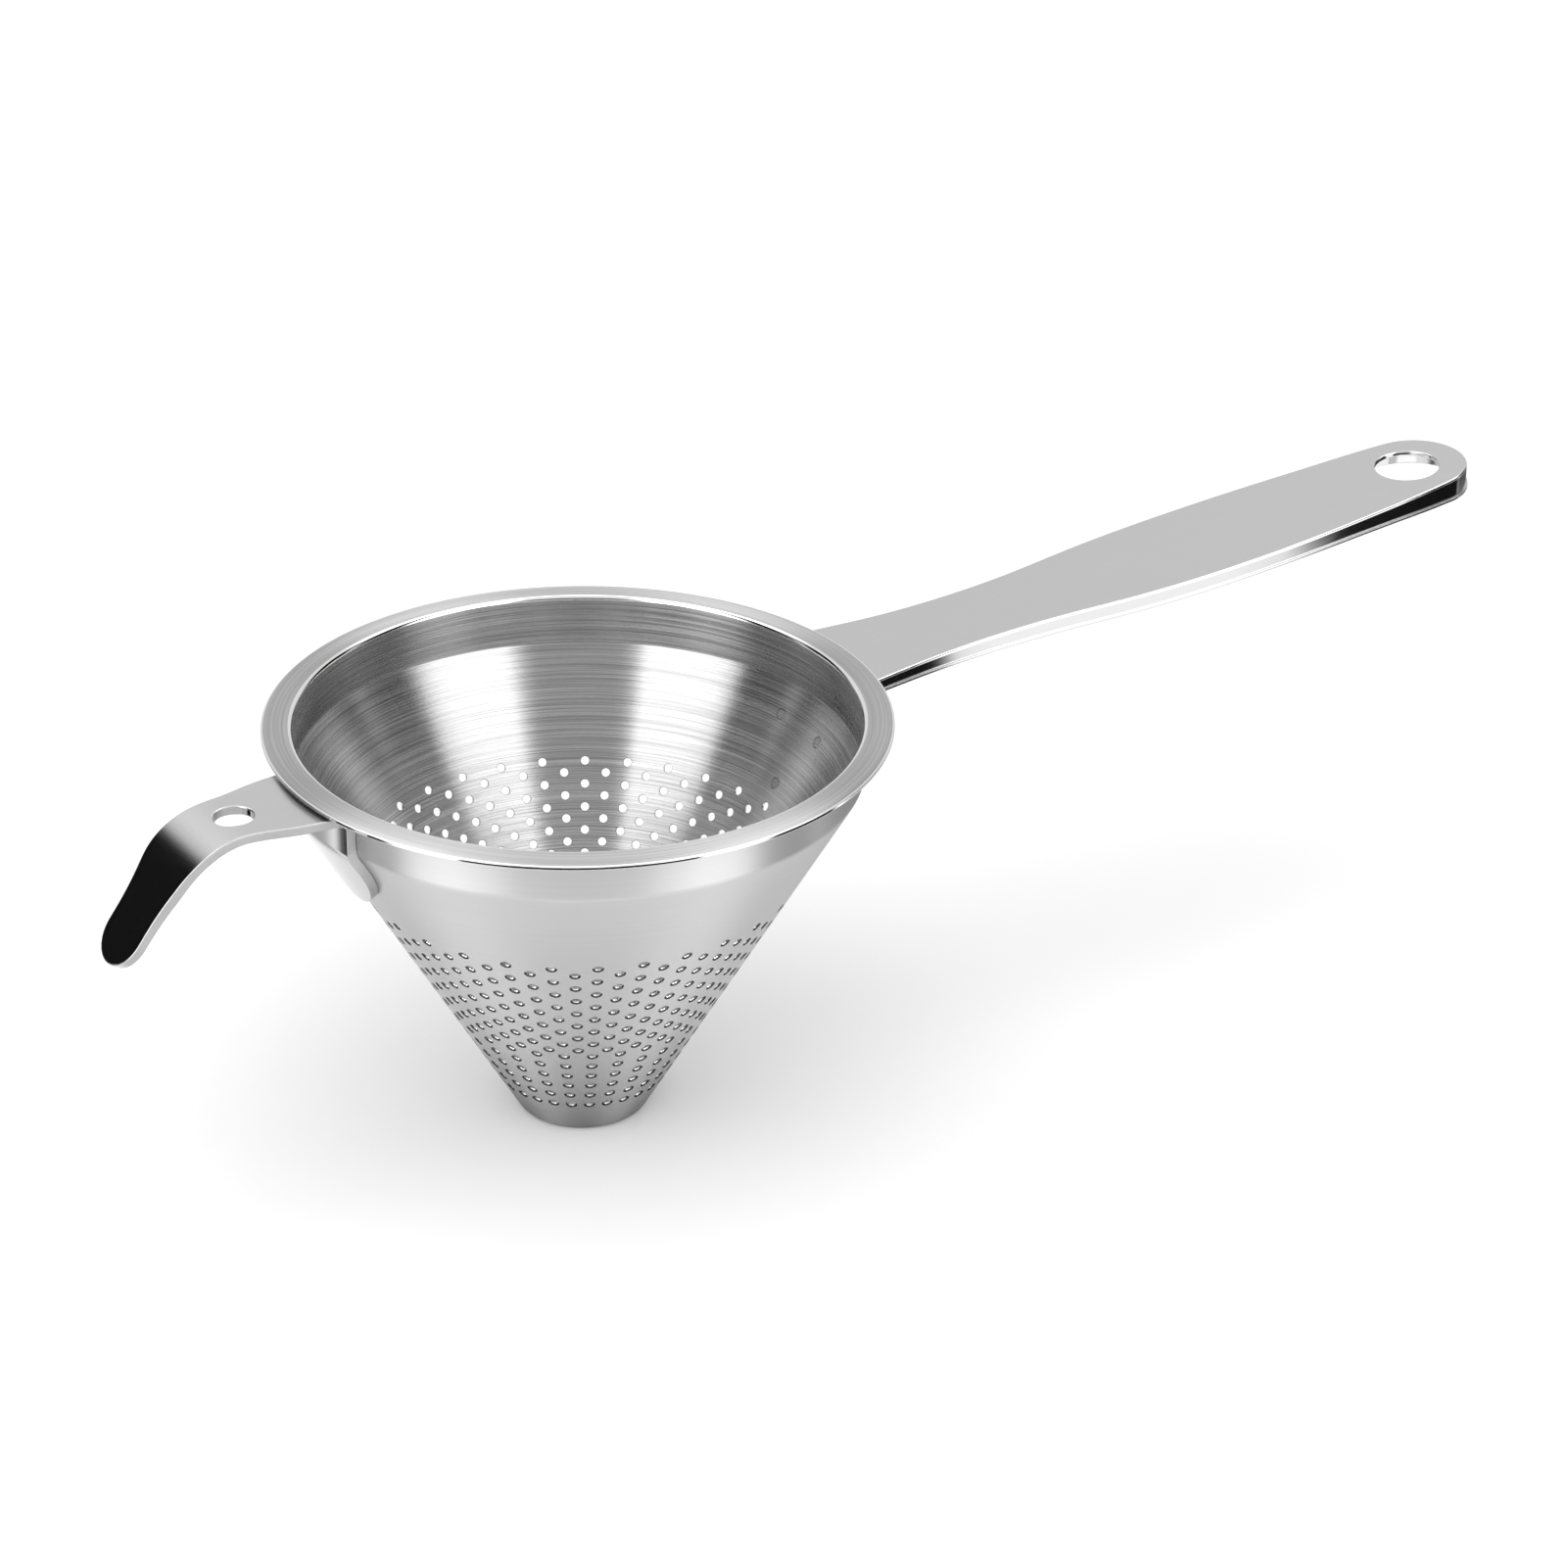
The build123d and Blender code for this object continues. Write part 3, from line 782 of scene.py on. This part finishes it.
class STRAINER_OT_studio(bpy.types.Operator):
    """Adds the camera, the pale floor, the soft light and the white background"""

    bl_idname = "strainer.studio"
    bl_label = "Studio"

    def execute(self, context):
        settings = context.scene.strainer_studio
        self.add_camera(context, settings)
        self.add_floor(context, settings)
        self.add_lamps(context)
        self.add_world(context, settings)
        context.scene.view_settings.view_transform = "Standard"
        return {"FINISHED"}

    def add_camera(self, context, settings):
        camera = bpy.data.objects.new("camera", bpy.data.cameras.new("camera"))
        camera.data.lens = settings.lens
        camera.data.sensor_width = SENSOR_WIDTH
        camera.data.clip_start = NEAREST_SEEN
        turn = Euler((settings.camera_tilt, 0, settings.camera_turn)).to_matrix()
        turn = turn @ Matrix.Rotation(settings.camera_roll, 3, "Z")
        camera.matrix_world = Matrix.Translation(settings.camera_place) @ turn.to_4x4()
        context.scene.collection.objects.link(camera)
        context.scene.camera = camera

    def add_floor(self, context, settings):
        # Paper roll, plain and uncoated: a pale floor with no shine
        material, tree, output = new_material("pale studio paper")
        place = node(tree, "ShaderNodeTexCoord").outputs["Object"]
        mottle = node(tree, "ShaderNodeTexNoise", {"Vector": place, "Scale": 1 / MOTTLE}).outputs["Fac"]
        bump = node(tree, "ShaderNodeBump", {
            "Height": mottle, "Strength": MOTTLE_STRENGTH, "Distance": MOTTLE_DEPTH,
        }).outputs[0]
        paper = node(tree, "ShaderNodeBsdfPrincipled", {
            "Base Color": tuple(settings.floor_colour), "Roughness": 0.9, "Specular IOR Level": 0.0,
            "Normal": bump,
        }).outputs[0]
        # The metal mirrors the paper only near the strainer's foot, with painted shade darker under the tip,
        # and the studio beyond it
        far = node(tree, "ShaderNodeVectorMath", {0: place}, operation="LENGTH").outputs["Value"]
        mirrored = node(tree, "ShaderNodeLightPath").outputs["Is Glossy Ray"]
        shade = smooth_range(tree, far, SHADE_START, SHADE_END, SHADE_UNDER_TIP, 0.0)
        under = math(tree, "MULTIPLY", mirrored, shade)
        painted_foot_shade = node(tree, "ShaderNodeBsdfDiffuse", {"Color": (0, 0, 0, 1)}).outputs[0]
        shaded = node(tree, "ShaderNodeMixShader", {"Fac": under, 1: paper, 2: painted_foot_shade}).outputs[0]
        border = settings.foot_radius * FOOT_BORDER_SHARE
        edge = smooth_range(tree, far, settings.foot_radius - border, settings.foot_radius + border)
        beyond = math(tree, "MULTIPLY", mirrored, edge)
        studio = node(tree, "ShaderNodeBsdfTransparent").outputs[0]
        shader = node(tree, "ShaderNodeMixShader", {"Fac": beyond, 1: shaded, 2: studio})
        tree.links.new(shader.outputs[0], output.inputs["Surface"])
        half = settings.floor_size / 2
        corners = [(-half, -half, 0), (half, -half, 0), (half, half, 0), (-half, half, 0)]
        mesh = bpy.data.meshes.new("floor")
        mesh.from_pydata(corners, [], [(0, 1, 2, 3)])
        mesh.materials.append(material)
        floor = bpy.data.objects.new("floor", mesh)
        context.scene.collection.objects.link(floor)

    def add_lamps(self, context):
        for name, place, width, power in LAMPS:
            lamp = bpy.data.lights.new(name, "AREA")
            lamp.shape = "DISK"
            lamp.size = width
            lamp.energy = power
            holder = bpy.data.objects.new(name, lamp)
            holder.location = place
            holder.rotation_euler = (-Vector(place)).to_track_quat("-Z", "Y").to_euler()
            holder.visible_glossy = False
            holder.visible_camera = False
            context.scene.collection.objects.link(holder)

    def add_world(self, context, settings):
        world = bpy.data.worlds.new("studio")
        world.use_nodes = True
        world.cycles.sampling_method = "NONE"
        tree = world.node_tree
        tree.nodes.clear()
        direction = node(tree, "ShaderNodeTexCoord").outputs["Generated"]
        flat = flattened(tree, direction)
        heading = node(tree, "ShaderNodeVectorMath", {0: flat}, operation="NORMALIZE").outputs[0]
        toward = node(tree, "ShaderNodeVectorMath", {
            0: heading, 1: tuple(outward(STUDIO_FRONT)),
        }, operation="DOT_PRODUCT").outputs["Value"]
        side = math(tree, "DEGREES", math(tree, "ARCCOSINE", toward))
        rise = node(tree, "ShaderNodeSeparateXYZ", {0: direction}).outputs["Z"]
        height = math(tree, "DEGREES", math(tree, "ARCSINE", rise))
        level = BACKGROUND_LEVEL
        for name, start, end, low, high, brightness, edge in CARDS:
            # A card covers the directions that lie inside all four of its borders
            cover = 1.0
            for angle, border, softness in (
                (side, start, edge), (side, end, -edge), (height, low, edge), (height, high, -edge),
            ):
                inside = smooth_range(tree, angle, border - softness, border + softness)
                cover = math(tree, "MULTIPLY", cover, inside)
            level = blend(tree, cover, level, brightness)
            level.node.label = name
        path = node(tree, "ShaderNodeLightPath").outputs
        seen = blend(tree, path["Is Glossy Ray"], settings.background, level)
        lit = blend(tree, path["Is Diffuse Ray"], seen, 1.0)
        surface = node(tree, "ShaderNodeBackground", {"Color": (1, 1, 1, 1), "Strength": lit})
        output = node(tree, "ShaderNodeOutputWorld")
        tree.links.new(surface.outputs[0], output.inputs["Surface"])
        context.scene.world = world


class STRAINER_PT_sidebar(bpy.types.Panel):
    """Lists the strainer's finishes and the studio"""

    bl_idname = "STRAINER_PT_sidebar"
    bl_label = "Chinois strainer"
    bl_space_type = "VIEW_3D"
    bl_region_type = "UI"
    bl_category = "Strainer"

    def draw(self, context):
        scene = context.scene
        for settings in (scene.strainer_bowl, scene.strainer_finishes, scene.strainer_studio):
            for name in settings.__annotations__:
                self.layout.prop(settings, name)
        for operator in OPERATORS:
            self.layout.operator(operator.bl_idname)


OPERATORS = [
    STRAINER_OT_brushed_bowl,
    STRAINER_OT_pressed_handle,
    STRAINER_OT_rest_hook,
    STRAINER_OT_spot_welds,
    STRAINER_OT_studio,
]
CLASSES = [BowlSizes, FinishSettings, StudioSettings, *OPERATORS, STRAINER_PT_sidebar]


def register():
    for made in CLASSES:
        bpy.utils.register_class(made)
    bpy.types.Scene.strainer_bowl = bpy.props.PointerProperty(type=BowlSizes)
    bpy.types.Scene.strainer_finishes = bpy.props.PointerProperty(type=FinishSettings)
    bpy.types.Scene.strainer_studio = bpy.props.PointerProperty(type=StudioSettings)


def unregister():
    del bpy.types.Scene.strainer_studio
    del bpy.types.Scene.strainer_finishes
    del bpy.types.Scene.strainer_bowl
    for made in reversed(CLASSES):
        bpy.utils.unregister_class(made)


def main():
    register()
    bpy.ops.strainer.brushed_bowl()
    bpy.ops.strainer.pressed_handle()
    bpy.ops.strainer.rest_hook()
    bpy.ops.strainer.spot_welds()
    bpy.ops.strainer.studio()


if __name__ == "__main__":
    main()
